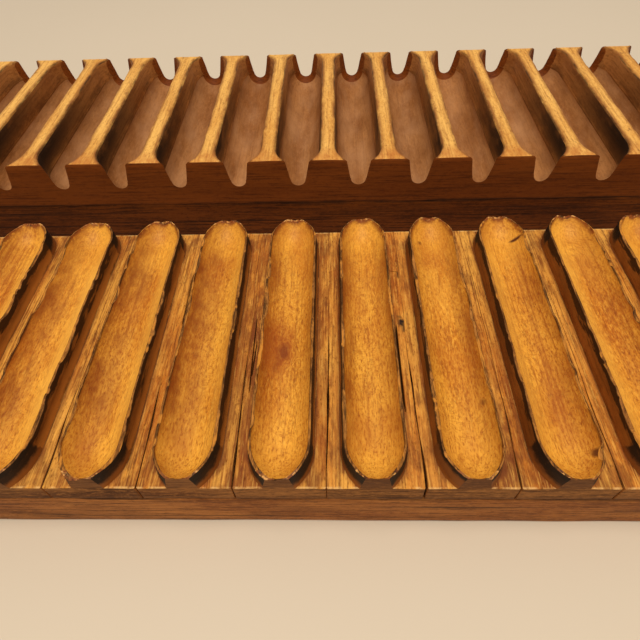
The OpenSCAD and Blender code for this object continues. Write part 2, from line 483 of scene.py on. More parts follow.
def hollow_finish():
    """Amber wood, polished by the cigars, with dark pores, stains and painted shade along its rims, and painted
    highlights.
    """
    wood = Finish("hollow_wood", paint(204, 121, 22), seed=1.0)
    dark, light = paint(112, 48, 6), paint(238, 166, 52)
    clusters = wood.blotches((0.12, 0.05, 0.12), 0.42, 0.12, seed=12.0)
    pores = calculate(wood.tree, "ADD", wood.times(clusters, 0.5), 0.25)
    wood.wood_figure(dark, light, streaks=0.45, flecks=0.75, pores=0.0, tone=0.12)
    # Painted highlight: the far ends of the hollow painted lighter, as if lit
    wood.layer(paint(244, 176, 60), wood.times(wood.attribute("far_end"), 0.45))
    broad = wood.blotches((0.09, 0.035, 0.09), 0.5, 0.2, seed=5.0)
    wood.layer(paint(250, 184, 68), wood.times(broad, 0.45))
    lively = calculate(wood.tree, "SUBTRACT", 1.0, wood.times(wood.attribute("calm"), 0.6))
    mottle = stretched_noise(wood.tree, wood.point, (2.1, 0.62, 2.1), 3.0, 3.0, 0.65)
    strokes = wood.times(wood.band(mottle, 0.51, 0.64), 0.6)
    wood.layer(paint(146, 70, 10), wood.times(strokes, lively))
    wood.layer(paint(250, 188, 74), wood.times(wood.band(mottle, 0.48, 0.34), 0.5))
    wood.layer(dark, wood.times(wood.times(wood.grain["Pores"], pores), lively))
    red_flecks = speckle(wood.tree, wood.point, (0.8, 0.34, 0.8), 0.3, 0.6)
    wood.layer(paint(132, 54, 8), wood.times(red_flecks, wood.times(lively, 0.4)))
    reddish = wood.blotches((0.08, 0.045, 0.08), 0.42, 0.16, seed=14.0)
    wood.layer(paint(162, 78, 14), wood.times(reddish, 0.55))
    lines = wood.times(wood.band(wood.grain["Streaks"], 0.5, 0.62), wood.attribute("streaky"))
    wood.layer(paint(164, 84, 14), lines)
    some = wood.times(wood.band(wood.grain["Figure"], 0.42, 0.6), wood.grain["Curls"])
    wood.layer(paint(150, 74, 12), wood.times(some, 0.4))
    # Stain and painted shade: the hollow darker along one side, as if shaded
    ragged = calculate(wood.tree, "ADD", wood.times(wood.blotches((0.16, 0.07, 0.16), 0.5, 0.16), 0.7), 0.3)
    wood.layer(paint(132, 62, 12), wood.times(wood.attribute("stain"), ragged))
    # Painted highlight along the other side of the hollow, as if lit
    wood.layer(paint(252, 190, 78), wood.attribute("painted_highlight"))
    spots = wood.blotches((0.35, 0.2, 0.35), 0.2, 0.1, seed=7.0)
    wood.layer(paint(150, 76, 14), wood.times(spots, 0.4))
    flat = add(wood.tree, "VectorMath", {0: wood.point, 1: (1, 0.62, 0)}, operation="MULTIPLY").outputs[0]
    centre = (block_x(KNOT_BLOCK) + KNOT_ACROSS, (TOP_HALF_Y + KNOT_ALONG) * 0.62, 0)
    far = add(wood.tree, "VectorMath", {0: flat, 1: centre}, operation="DISTANCE").outputs["Value"]
    warp = stretched_noise(wood.tree, wood.point, (0.16, 0.11, 0.16), 5.0, 2.0)
    bent = calculate(wood.tree, "ADD", far, wood.times(warp, 14.0))
    bent = calculate(wood.tree, "ADD", bent, wood.times(wood.grain["Flecks"], 1.6))
    rings = calculate(wood.tree, "SINE", wood.times(bent, 5.4))
    near_knot = wood.times(wood.band(far, 11.0, 3.0), wood.band(warp, 0.4, 0.56))
    wood.layer(paint(140, 66, 12), wood.times(wood.band(rings, 0.2, 1.0), wood.times(near_knot, 0.5)))
    uneven = calculate(wood.tree, "ADD", bent, -8.0)
    wood.layer(paint(150, 68, 12), wood.times(wood.band(uneven, 7.5, 2.0), 0.6))
    wood.layer(paint(112, 44, 10), wood.times(wood.band(uneven, 3.6, 1.0), 0.7))
    worn = wood.blotches((0.3, 0.1, 0.3), 0.62, 0.12, seed=16.0)
    # A dark line just inside the rim: residue, and painted shade under the rim's edge
    under_rim = wood.times(wood.band(wood.attribute("inset"), 0.8, 0.5), worn)
    wood.layer(paint(52, 25, 8), wood.times(under_rim, 0.9))
    lip = wood.times(wood.attribute("lip"), wood.blotches((0.5, 0.5, 0.5), 0.6, 0.08, seed=8.0))
    wood.layer(paint(134, 68, 20), lip)
    crumbled = wood.times(wood.band(wood.attribute("inset"), 1.0, 0.4), wood.blotches((0.6, 0.6, 0.6), 0.4, 0.05, seed=19.0))
    wood.layer(BLACK_RESIDUE_AND_SHADE, wood.times(wood.attribute("taper"), wood.times(crumbled, 0.75)))
    pale = wood.times(wood.band(wood.attribute("inset"), 0.6, 0.2), wood.blotches((0.8, 0.8, 0.8), 0.42, 0.06, seed=18.0))
    wood.layer(paint(232, 168, 92), wood.times(wood.attribute("taper"), wood.times(pale, 0.85)))
    wood.layer(paint(84, 38, 10), wood.attribute("mark"))
    return wood.done(0.5, bump=0.5, depth=0.2)


def rim_finish():
    """The worn edge of a presser: nearly black outside, brown inside, pale where chipped."""
    wood = Finish("rim_wood", paint(162, 102, 44), seed=2.0, shine=0.1)
    wood.wood_figure(paint(62, 32, 10), paint(192, 126, 56), streaks=0.5, flecks=0.8, pores=0.3)
    # Thin black line along the outer edge: residue, and painted shadow under the rim's edge
    outside = wood.band(wood.attribute("outline"), -0.12, 0.0)
    wood.layer(BLACK_RESIDUE_AND_SHADE, wood.times(outside, 0.85))
    # Dark line along the inner edge: residue, and painted shade where the rim drops into the hollow
    inside = wood.band(wood.attribute("outline"), -0.32, -0.42)
    wood.layer(BLACK_RESIDUE_AND_SHADE, wood.times(inside, wood.times(wood.blotches((0.3, 0.08, 0.3), 0.6, 0.1, seed=2.0), 0.8)))
    dark = wood.blotches((0.8, 0.12, 0.8), 0.44, 0.07, seed=4.0)
    wood.layer(BLACK_RESIDUE_AND_SHADE, wood.times(dark, 0.75))
    fresh = wood.band(wood.attribute("chip"), 0.35, 0.9)
    pale = wood.blotches((0.9, 0.07, 0.9), 0.42, 0.08)
    wood.layer(paint(214, 138, 50), wood.times(fresh, wood.times(pale, 0.85)))
    lines = wood.blotches((2.4, 0.16, 2.4), 0.36, 0.06, seed=6.0)
    wood.layer(paint(92, 48, 16), wood.times(lines, 0.7))
    return wood.done(0.7, bump=0.5, depth=0.2)


def wall_finish():
    """The outer walls of a presser: smooth brown, black just under the rim and at the ends."""
    wood = Finish("wall_wood", paint(172, 98, 34), seed=3.0, shine=0.1)
    wood.wood_figure(paint(104, 52, 14), paint(178, 106, 40), streaks=0.5, flecks=0.3, pores=0.2)
    rise = calculate(wood.tree, "SUBTRACT", wood.height(), CHANNEL_FLOOR)
    grimy = wood.blotches((0.14, 0.05, 0.14), 0.5, 0.18, seed=5.0)
    wood.layer(paint(84, 44, 16), wood.times(grimy, 0.5))
    # Black under the rim: residue, and painted shadow under the rim's edge
    patches = calculate(wood.tree, "MULTIPLY", wood.blotches((0.3, 0.06, 0.3), 0.5, 0.14, seed=7.0), 2.4)
    reach = calculate(wood.tree, "ADD", patches, wood.times(wood.attribute("residue_and_shade"), 2.2))
    under_rim = wood.band(calculate(wood.tree, "ADD", rise, reach), RIM_H - 1.2, RIM_H - 0.4)
    wood.layer(BLACK_RESIDUE_AND_SHADE, wood.times(under_rim, 0.85))
    # Painted light: right-facing walls paler towards their foot, as if lit by light thrown back from the channel
    right = wood.band(wood.tone["Across"], 0.0, 1.0)
    wood.layer(paint(206, 132, 54), wood.times(right, wood.times(wood.band(rise, 3.4, 0.4), 0.7)))
    # Black at the foot of the wall: residue, and painted shade in the crease
    at_foot = wood.times(wood.band(rise, 1.3, 0.2), wood.blotches((0.3, 0.1, 0.3), 0.4, 0.08))
    wood.layer(BLACK_RESIDUE_AND_SHADE, wood.times(at_foot, 0.6))
    ragged = stretched_noise(wood.tree, wood.point, (0.35, 0.3, 0.35), 9.0, 5.0, 0.7)
    black_end = wood.band(calculate(wood.tree, "ADD", wood.attribute("taper"), wood.times(ragged, 1.6)), 1.05, 1.4)
    blacker = wood.band(wood.attribute("residue_and_shade"), 0.2, 0.3)
    uneven = calculate(wood.tree, "ADD", wood.times(ragged, 4.0), wood.times(blacker, 2.6))
    lower = wood.band(calculate(wood.tree, "ADD", rise, uneven), 7.6, 5.8)
    wood.layer(paint(40, 27, 17), wood.times(black_end, 0.95))
    wood.layer(paint(136, 78, 34), wood.times(wood.times(black_end, lower), 0.85))
    brown = wood.blotches((0.5, 0.4, 0.5), 0.22, 0.08, seed=10.0)
    wood.layer(paint(110, 66, 32), wood.times(wood.times(black_end, brown), 0.7))
    foot = wood.times(black_end, wood.band(calculate(wood.tree, "ADD", rise, ragged), 2.4, 1.0))
    wood.layer(paint(146, 84, 32), wood.times(foot, 0.85))
    return wood.done(0.6, bump=0.3, depth=0.15)


def channel_finish():
    """The channel floors between pressers: gold and streaky, darker along the walls with painted shade and residue."""
    wood = Finish("channel_wood", paint(206, 120, 32), seed=4.0)
    wood.wood_figure(paint(112, 50, 8), paint(244, 178, 74), streaks=0.85, flecks=0.45, pores=0.6, tone=0.0)
    wood.layer(paint(244, 176, 78), wood.attribute("pale"))
    wood.layer(paint(124, 62, 20), wood.times(wood.attribute("soil"), wood.blotches((0.5, 0.2, 0.5), 0.6, 0.12, seed=15.0)))
    # Painted shade on the channel floor beside the walls
    foot = wood.band(wood.attribute("outline"), 3.0, 0.7)
    wood.layer(paint(122, 60, 16), wood.times(foot, 0.6))
    # Black in the crease at the foot of the walls: residue and painted shade
    corner = wood.times(wood.band(wood.attribute("outline"), 1.4, 0.9), wood.blotches((0.3, 0.07, 0.3), 0.6, 0.12, seed=17.0))
    wood.layer(BLACK_RESIDUE_AND_SHADE, wood.times(corner, 0.75))
    dirt = wood.blotches((0.3, 0.06, 0.3), 0.32, 0.05)
    wood.layer(paint(106, 50, 12), wood.times(dirt, 0.6))
    red = wood.blotches((0.12, 0.05, 0.12), 0.34, 0.14, seed=9.0)
    wood.layer(paint(166, 80, 20), wood.times(red, 0.5))
    soiled = wood.times(wood.attribute("far_end"), wood.blotches((0.25, 0.14, 0.25), 0.46, 0.1, seed=3.0))
    wood.layer(paint(104, 48, 12), wood.times(soiled, 0.6))
    fine = stretched_noise(wood.tree, wood.point, (2.0, 0.11, 2.0), 7.0, 4.0, 0.6)
    wood.layer(paint(124, 60, 14), wood.times(wood.band(fine, 0.53, 0.63), 0.5))
    wood.layer(paint(252, 190, 88), wood.times(wood.band(fine, 0.47, 0.35), 0.35))
    specks = wood.blotches((1.3, 0.4, 1.3), 0.2, 0.04, seed=5.0)
    wood.layer(paint(66, 30, 9), wood.times(specks, 0.65))
    # The pale front edge of the lands: wear and a painted highlight
    worn_and_lit_edge = wood.times(wood.attribute("edge"), wood.blotches((0.4, 0.4, 0.4), 0.5, 0.1, seed=11.0))
    wood.layer(paint(240, 190, 118), wood.times(worn_and_lit_edge, 0.6))
    wood.layer(paint(26, 13, 5), wood.attribute("mark"))
    return wood.done(0.62, bump=0.7, depth=0.3)


def end_finish():
    """The cut ends of the blocks: dull brown with level streaks and saw marks."""
    wood = Finish("cut_end_wood", paint(112, 65, 27), grain_along="x", seed=5.0, shine=0.1)
    wood.wood_figure(paint(64, 34, 12), paint(184, 122, 62), streaks=0.8, flecks=0.6, pores=0.4, tone=0.35)
    rise = calculate(wood.tree, "SUBTRACT", wood.height(), CHANNEL_FLOOR)
    wood.layer(paint(104, 66, 38), wood.times(wood.band(rise, -0.5, 1.5), 0.55))
    lower = wood.band(rise, -5.0, -7.4)
    wood.layer(paint(80, 46, 20), wood.times(lower, 0.5))
    return wood.done(0.68, bump=0.4, depth=0.2)


def board_finish(name, base, dark, light, seed):
    """A base board, its grain along the row."""
    wood = Finish(name, base, grain_along="x", seed=seed, shine=0.12)
    wood.wood_figure(dark, light, streaks=0.8, flecks=0.5, pores=0.5, tone=0.0)
    smudges = wood.blotches((0.1, 0.03, 0.1), 0.35, 0.12)
    wood.layer(dark, wood.times(smudges, 0.5))
    joint = wood.times(wood.band(wood.height(), BOARD_TOP - 1.6, BOARD_TOP - 0.2), wood.blotches((0.5, 0.04, 0.5), 0.55, 0.1, seed=9.0))
    wood.layer(BLACK_RESIDUE_AND_SHADE, wood.times(joint, 0.7))
    cracks = wood.blotches((0.8, 0.006, 0.8), 0.35, 0.012, seed=6.0)
    wood.layer(paint(34, 16, 6), wood.times(cracks, 0.75))
    return wood.done(0.62, bump=0.5, depth=0.25)


def ridge_finish():
    """The tops of the ridges between cavities: pale gold with brown specks."""
    wood = Finish("ridge_wood", paint(219, 154, 67), seed=8.0)
    wood.wood_figure(paint(156, 92, 32), paint(246, 190, 98), streaks=0.55, flecks=0.5, pores=0.4, tone=0.0)
    dirt = wood.blotches((0.4, 0.16, 0.4), 0.28, 0.05)
    wood.layer(paint(112, 60, 22), wood.times(dirt, 0.55))
    specks = wood.blotches((1.0, 0.6, 1.0), 0.3, 0.05, seed=7.0)
    wood.layer(paint(150, 88, 34), wood.times(specks, 0.55))
    from_face = calculate(wood.tree, "SUBTRACT", wood.along(), BOTTOM_HALF_Y - HALF_DEPTH / 2)
    flare = wood.times(wood.band(from_face, 11.0, 3.0), wood.blotches((0.35, 0.2, 0.35), 0.6, 0.2, seed=6.0))
    wood.layer(paint(182, 104, 38), wood.times(flare, 0.7))
    beside = wood.band(wood.attribute("outline"), 2.2, 0.3)
    worn = wood.blotches((0.25, 0.07, 0.25), 0.6, 0.16, seed=3.0)
    wood.layer(paint(136, 76, 26), wood.times(beside, wood.times(worn, 0.85)))
    at_edge = wood.times(wood.band(wood.attribute("outline"), 0.8, 0.0), wood.blotches((0.3, 0.1, 0.3), 0.5, 0.12, seed=4.0))
    wood.layer(BLACK_RESIDUE_AND_SHADE, wood.times(at_edge, 0.7))
    return wood.done(0.6, bump=0.45, depth=0.2)


def cavity_wall_finish():
    """The side walls of a cavity: brown, and black in places towards the round floor."""
    wood = Finish("cavity_wall_wood", paint(147, 85, 34), seed=9.0, shine=0.12)
    wood.wood_figure(paint(108, 58, 20), paint(190, 124, 62), streaks=0.5, flecks=0.4, pores=0.3, tone=0.0)
    depth = calculate(wood.tree, "SUBTRACT", MOUTH_TOP, wood.height())
    low = wood.band(depth, 4.0, CENTRE_DEPTH)
    ragged = wood.blotches((0.2, 0.07, 0.2), 0.5, 0.14)
    wood.layer(BLACK_RESIDUE_AND_SHADE, wood.times(wood.times(low, ragged), 0.5))
    from_face = calculate(wood.tree, "SUBTRACT", wood.along(), BOTTOM_HALF_Y - HALF_DEPTH / 2)
    across = calculate(wood.tree, "ABSOLUTE", wood.tone["Across"])
    # Painted shade on the walls beside the ridges, with black residue in patches over it that grows more common
    # further from the middle of the row
    shaded = wood.times(wood.band(across, 5.8, 7.4), wood.band(from_face, 90.0, 10.0))
    place = add(wood.tree, "SeparateXYZ", {0: wood.point}).outputs[0]
    outward = wood.band(calculate(wood.tree, "ABSOLUTE", place), 10.0, 130.0)
    often = calculate(wood.tree, "ADD", 0.5, wood.times(outward, 0.3))
    wood.layer(paint(84, 46, 18), wood.times(wood.times(shaded, wood.band(depth, 9.0, 6.0)), 0.6))
    patchy = wood.blotches((0.2, 0.07, 0.2), often, 0.16, seed=3.0)
    high = calculate(wood.tree, "ADD", 0.4, wood.times(wood.band(depth, 9.0, 3.0), 0.6))
    wood.layer(BLACK_RESIDUE_AND_SHADE, wood.times(wood.times(shaded, patchy), wood.times(high, 0.97)))
    return wood.done(0.6, bump=0.3, depth=0.15)


def cavity_floor_finish():
    """The round floor of a cavity: pinkish tan, dusted by the leaf."""
    wood = Finish("cavity_floor_wood", paint(152, 94, 46), seed=10.0, shine=0.12)
    wood.wood_figure(paint(112, 68, 32), paint(194, 134, 78), streaks=0.3, flecks=0.4, pores=0.3, tone=0.25)
    stain = wood.blotches((0.14, 0.05, 0.14), 0.4, 0.16)
    wood.layer(paint(122, 72, 34), wood.times(stain, 0.6))
    dusty = wood.blotches((0.1, 0.04, 0.1), 0.4, 0.2, seed=3.0)
    wood.layer(paint(192, 142, 98), wood.times(dusty, 0.5))
    return wood.done(0.58, bump=0.25, depth=0.1)


def pin_finish():
    """Turned pin of close-grained wood, dark where the other half has rubbed it."""
    wood = Finish("pin_wood", paint(196, 140, 80), seed=11.0)
    wood.wood_figure(paint(120, 74, 34), paint(214, 162, 102), streaks=0.5, pores=0.5, tone=0.2)
    rubbed = wood.blotches((0.6, 0.6, 0.6), 0.4, 0.1)
    wood.layer(DARK_BROWN, wood.times(rubbed, 0.5))
    return wood.done(0.5, bump=0.3)


def screw_finish():
    """Iron screws, gone dark and a little rusty."""
    iron = Finish("screw_iron", paint(86, 80, 74), seed=12.0)
    rust = iron.blotches((0.8, 0.8, 0.8), 0.4, 0.1)
    iron.layer(paint(96, 52, 28), iron.times(rust, 0.7))
    fill(iron.tree, iron.shader.inputs["Metallic"], calculate(iron.tree, "SUBTRACT", 1.0, rust))
    return iron.done(0.45, bump=0.3, depth=0.1)


END = end_finish()
FACE = Finish("cavity_face_wood", paint(116, 55, 11), grain_along="x", seed=13.0, shine=0.12)
FACE.wood_figure(paint(70, 30, 5), paint(134, 67, 17), streaks=0.6, pores=0.4, tone=0.0)
joint = FACE.times(FACE.band(FACE.height(), BOARD_TOP + 1.2, BOARD_TOP), FACE.blotches((0.5, 0.05, 0.5), 0.6, 0.1))
FACE.layer(BLACK_RESIDUE_AND_SHADE, FACE.times(joint, 0.8))
FACE = FACE.done(0.62, bump=0.35, depth=0.2)
PRESSER_FINISHES = {
    "hollow": hollow_finish(),
    "rim": rim_finish(),
    "wall": wall_finish(),
    "channel": channel_finish(),
    "end": END,
}
CAVITY_FINISHES = {
    "ridge": ridge_finish(),
    "wall": cavity_wall_finish(),
    "floor": cavity_floor_finish(),
    "face": FACE,
}
TOP_BOARD = board_finish("top_board_wood", paint(146, 84, 34), paint(78, 40, 14), paint(190, 122, 58), 6.0)
BOTTOM_BOARD = board_finish("bottom_board_wood", paint(96, 44, 6), paint(50, 20, 3), paint(124, 62, 14), 7.0)


# Pressers


def presser_region(number):
    """The region of a face of a presser block, from its middle in mm and its normal."""

    def region(middle, normal):
        across, along = middle.x - block_x(number), middle.y - TOP_HALF_Y
        rise = middle.z - CHANNEL_FLOOR
        inside = abs(across) < half_width(along, RIM_HALF)
        if abs(normal.y) > 0.9 or normal.z < -0.9 or abs(across) > PITCH / 2 - 0.01:
            return "end"
        if normal.z > 0.95 and rise > RIM_H - 0.01:
            return "rim" if abs(along) < BODY_HALF_L + LIP_FROM else "hollow"
        if inside and normal.z > 0.1:
            return "hollow"
        return "channel" if normal.z > 0.5 else "wall"

    return region


def is_side_edge(a, b, middle_x, middle_y, top):
    """Whether an edge lies along the outer edges of a block's top, or up its corners."""
    at_seam = all(abs(abs(v.x - middle_x) - PITCH / 2) < 0.01 for v in (a, b))
    at_end = all(abs(abs(v.y - middle_y) - HALF_DEPTH / 2) < 0.01 for v in (a, b))
    at_top = all(abs(v.z - top) < 0.01 for v in (a, b))
    return at_seam + at_end + at_top >= 2


# The last part of a taper, where the rims have worn down into the hollow
LIP_FROM = 8.2
EDGE_WEAR = 0.3
RIM_STEP = 0.8
FLAT_STEP = 1.5


def presser_form(number):
    """A presser block cut fine enough to be worn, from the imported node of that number."""
    rng = random.Random(number)
    node = f"presser_block_{number:02d}"
    form = merged_copy(node, f"presser_form_{number:02d}")
    x = block_x(number)
    start_editing(form, "EDGE")
    select_edges(form, lambda a, b: is_side_edge(a, b, x, TOP_HALF_Y, CHANNEL_FLOOR))
    bpy.ops.mesh.bevel(offset=EDGE_WEAR * MM, segments=2, affect="EDGES")
    bpy.ops.mesh.select_mode(type="FACE")

    def is_channel(middle, normal):
        return normal.z > 0.95 and abs(middle.z - CHANNEL_FLOOR) < 0.01

    def is_end(middle, normal):
        return abs(normal.y) > 0.95

    def is_wall(middle, normal):
        return abs(normal.z) < 0.5 and middle.z > CHANNEL_FLOOR + 0.01 and abs(normal.y) < 0.95

    across = [x + p for p in stations(-PITCH / 2, PITCH / 2, FLAT_STEP, 0.2, rng)]
    cut_faces(form, is_channel, 0, across)
    cut_faces(form, is_end, 0, across)
    heights = [CHANNEL_FLOOR + rise for rise in (-5.2, -2.6, 1.6, 3.2, 4.8)]
    cut_faces(form, is_end, 2, heights)
    rises = [CHANNEL_FLOOR + rise for rise in (1.2, 2.4, 3.6, 4.7, 5.6, 6.3)]
    cut_faces(form, is_wall, 2, rises)
    half = HALF_DEPTH / 2
    cut_through(1, [TOP_HALF_Y + p for p in stations(-half, half, RIM_STEP, 0.3, rng)])
    stop_editing()
    give_materials(form, PRESSER_FINISHES, presser_region(number))
    return form


class Chip:
    """A piece broken out of a rim: its place along it, half its length and its depth."""

    def __init__(self, side, along, half_l, depth):
        self.side, self.along, self.half_l, self.depth = side, along, half_l, depth

    def depth_at(self, across, along):
        t = np.abs(along - self.along) / self.half_l
        return np.where(np.sign(across) == self.side, self.depth * np.clip(1 - t**3, 0, 1), 0)


def common_chips(rng):
    """The many small chips and the few long ones that each presser's rims have."""
    half = HALF_DEPTH / 2
    for side in (-1, 1):
        for _ in range(12):
            yield Chip(side, rng.uniform(-half, half), rng.uniform(0.6, 2.2), rng.uniform(0.1, 0.7))
        for _ in range(6):
            yield Chip(side, rng.uniform(-half, half), rng.uniform(2, 8), rng.uniform(0.3, 1.4))
        for _ in range(4):
            yield Chip(side, rng.uniform(BODY_HALF_L, half), rng.uniform(0.8, 2.4), rng.uniform(0.3, 1.2))


# Breaks that stand out, by the number of their presser
BREAKS = {
    8: [Chip(1, -2.7, 1.8, 1.7), Chip(1, 9, 5, 0.9)],
    9: [Chip(1, 14, 3, 1.2), Chip(1, 2, 7, 1.5), Chip(-1, -4, 9, 0.9)],
    10: [Chip(-1, 25, 6, 1.5), Chip(-1, 9, 8, 1.9), Chip(-1, -9, 9, 1.4), Chip(1, 15, 5, 1.1)],
    12: [Chip(-1, 24, 7, 1.3), Chip(1, 25, 13, 1.4), Chip(1, -12, 16, 1.1)],
    13: [Chip(1, -43.6, 2.4, 1.8), Chip(1, -12, 7, 0.9)],
}

# How strongly a presser's hollow is darkened by stain and painted shade at its left and right, or given a painted
# highlight below 0
HOLLOW_STAIN_AND_SHADE = {
    6: (0.7, -0.7),
    7: (0.85, -0.8),
    8: (1.0, -0.5),
    9: (1.0, -0.25),
    10: (0.8, 0.35),
    11: (0.85, 0.7),
    12: (0.15, 0.65),
    13: (-0.35, 0.6),
    14: (-0.5, 0.5),
}

# How strongly the grain of a presser's hollow shows as long streaks
STREAKY = {6: 0.5, 8: 0.25, 13: 0.45, 14: 0.2}

# How far the black under a presser's rim, residue and painted shade, reaches down its walls
UNDER_RIM_RESIDUE_AND_SHADE = {8: 0.55, 9: 0.75, 10: 0.9, 11: 0.95, 12: 0.2, 13: 0.35, 14: 0.3}

# Dark marks: across and along in mm from the middle of the block, half sizes, and strength
MARKS = {
    11: [(12.4, 27.1, 0.8, 1.6, 0.7), (11.7, 5.2, 1.1, 1.7, 1.0), (12.3, 2.4, 0.5, 1.6, 0.9), (11.0, 7.6, 0.5, 0.9, 0.8)],
    12: [(-3.8, 41.8, 0.8, 0.8, 0.6), (6.0, -27.1, 0.6, 1.0, 0.6)],
    13: [(5.6, 41.6, 1.8, 0.7, 1.0), (6.6, -43.0, 1.0, 1.3, 0.9)],
}


# Splits in the lands: where each starts and ends, across and along in mm, and its depth
SPLITS = {
    11: [((9.8, 4.5), (9.8, -28.5), 2.2), ((9.5, 29.2), (12.6, 28.6), 0.6)],
    12: [((9.9, 20.0), (9.7, -6.0), 1.2), ((9.6, -12.0), (10.2, -38.0), 1.0)],
    13: [((9.9, 22.0), (9.5, -34.0), 1.2)],
    9: [((-11.0, 30.0), (-10.6, 4.0), 0.8)],
    10: [((-11.3, 8.0), (-10.8, -22.0), 1.0), ((-10.2, -2.0), (-10.6, -16.0), 0.8)],
}
SPLIT_HALF = 0.22


def distance_from(split, across, along):
    """How far points are from a split's line, and how far along it they are, from 0 to 1."""
    (x0, y0), (x1, y1), _ = split
    length = math.hypot(x1 - x0, y1 - y0)
    to_x, to_y = (x1 - x0) / length, (y1 - y0) / length
    share = ((across - x0) * to_x + (along - y0) * to_y) / length
    return (across - x0) * to_y - (along - y0) * to_x, share


def cut_splits(piece, number):
    """Cuts the land of a block along its splits, so that they can be opened."""
    for split in SPLITS.get(number, []):
        (x0, y0), (x1, y1), _ = split
        normal = Vector((y1 - y0, x0 - x1, 0)).normalized()
        start = Vector((block_x(number) + x0, TOP_HALF_Y + y0, CHANNEL_FLOOR))

        def beside_split(middle, face_normal):
            far, share = distance_from(split, middle.x - block_x(number), middle.y - TOP_HALF_Y)
            on_land = face_normal.z > 0.9 and abs(middle.z - CHANNEL_FLOOR) < 0.01
            return on_land and abs(far) < 1.6 and -0.05 < share < 1.05

        start_editing(piece)
        for aside in (-SPLIT_HALF, 0, SPLIT_HALF):
            select_faces(piece, beside_split)
            bpy.ops.mesh.bisect(plane_co=(start + aside * normal) * MM, plane_no=normal)
        stop_editing()


def split_depth(number, across, along):
    """How far each point sinks into a split."""
    depth = np.zeros(len(across))
    for split in SPLITS.get(number, []):
        far, share = distance_from(split, across, along)
        ends = np.clip(np.minimum(share, 1 - share) * 8, 0, 1)
        depth = np.maximum(depth, split[2] * ends * np.clip(1 - np.abs(far) / (SPLIT_HALF * 0.9), 0, 1))
    return depth


def marks_at(number, across, along):
    total = np.zeros(len(across))
    for x, y, half_x, half_y, strength in MARKS.get(number, []):
        far = np.hypot((across - x) / half_x, (along - y) / half_y)
        total = np.maximum(total, strength * (1 - smooth_step(far, 0.6, 1.3)))
    return total


def seam_shift(points, seam):
    """How far a seam wanders from its straight line, the same for the blocks at both sides."""
    along = points[:, 1]
    wander = np.array([noise.noise((y / 22, seam * 3.7, 0.5)) for y in along])
    return 0.8 * wander


def seam_open(points, seam):
    """How far a seam has opened, from 0 where it is shut to 1 at the front."""
    start = 4 + 22 * noise.noise((seam * 3.3, 0.7, 1.1))
    return smooth_step(TOP_HALF_Y - points[:, 1], start, start + 26)


def seam_gap(points, seam):
    """Half the gap of a seam, along it."""
    along = points[:, 1]
    uneven = np.array([noise.noise((y / 9, seam * 5.1, 2.5)) for y in along])
    return 0.01 + 0.26 * np.maximum(uneven + 0.55, 0.1) * seam_open(points, seam)


def wear_seams(points, number):
    """Moves the sides of a block to the wandering, uneven seams beside it."""
    for side in (-1, 1):
        seam = number + (0 if side > 0 else -1)
        across = (points[:, 0] - block_x(number)) * side
        near = smooth_step(across, PITCH / 2 - 3, PITCH / 2 - 0.3)
        shift = seam_shift(points, seam) * near
        gap = seam_gap(points, seam) * smooth_step(across, PITCH / 2 - 0.7, PITCH / 2 - 0.1)
        shut = 1 - 0.85 * seam_open(points, seam)
        sunk = np.clip(CHANNEL_FLOOR - points[:, 2], 0, 1)
        bevelled = (across > PITCH / 2 - EDGE_WEAR - 0.05) & (sunk < EDGE_WEAR * 1.4)
        points[:, 2] += bevelled * shut * sunk * 0.8
        points[:, 0] += np.where(across > 0, shift - side * gap, 0)


# Lands that are darker or paler than the others at the left and right of a presser: from -1
# for pale to 1 for dark at the back, the middle and the front
LANDS = {
    8: ((0.2, 0.3, 0.1), (-0.2, 0.3, 0.0)),
    9: ((-0.6, 0.2, 0.1), (0.3, 0.7, 0.4)),
    10: ((0.5, 1.0, 0.5), (0.4, 0.5, 0.3)),
    11: ((0.0, 0.1, -0.3), (0.2, -0.1, -0.2)),
    12: ((-0.4, 0.1, -0.5), (0.1, 0.2, 0.9)),
    13: ((-0.1, 0.2, 0.5), (-0.3, -0.4, 0.4)),
}


def land_tone(number, across, along):
    """How dark or pale the land beside a presser is, from its back to its front."""
    rng = random.Random(700 + number)
    usual = [[rng.uniform(-0.5, 0.6) for _ in range(3)] for _ in range(2)]
    left, right = LANDS.get(number, usual)
    places = (-38, 0, 38)
    return np.where(across < 0, np.interp(along, places, left[::-1]), np.interp(along, places, right[::-1]))


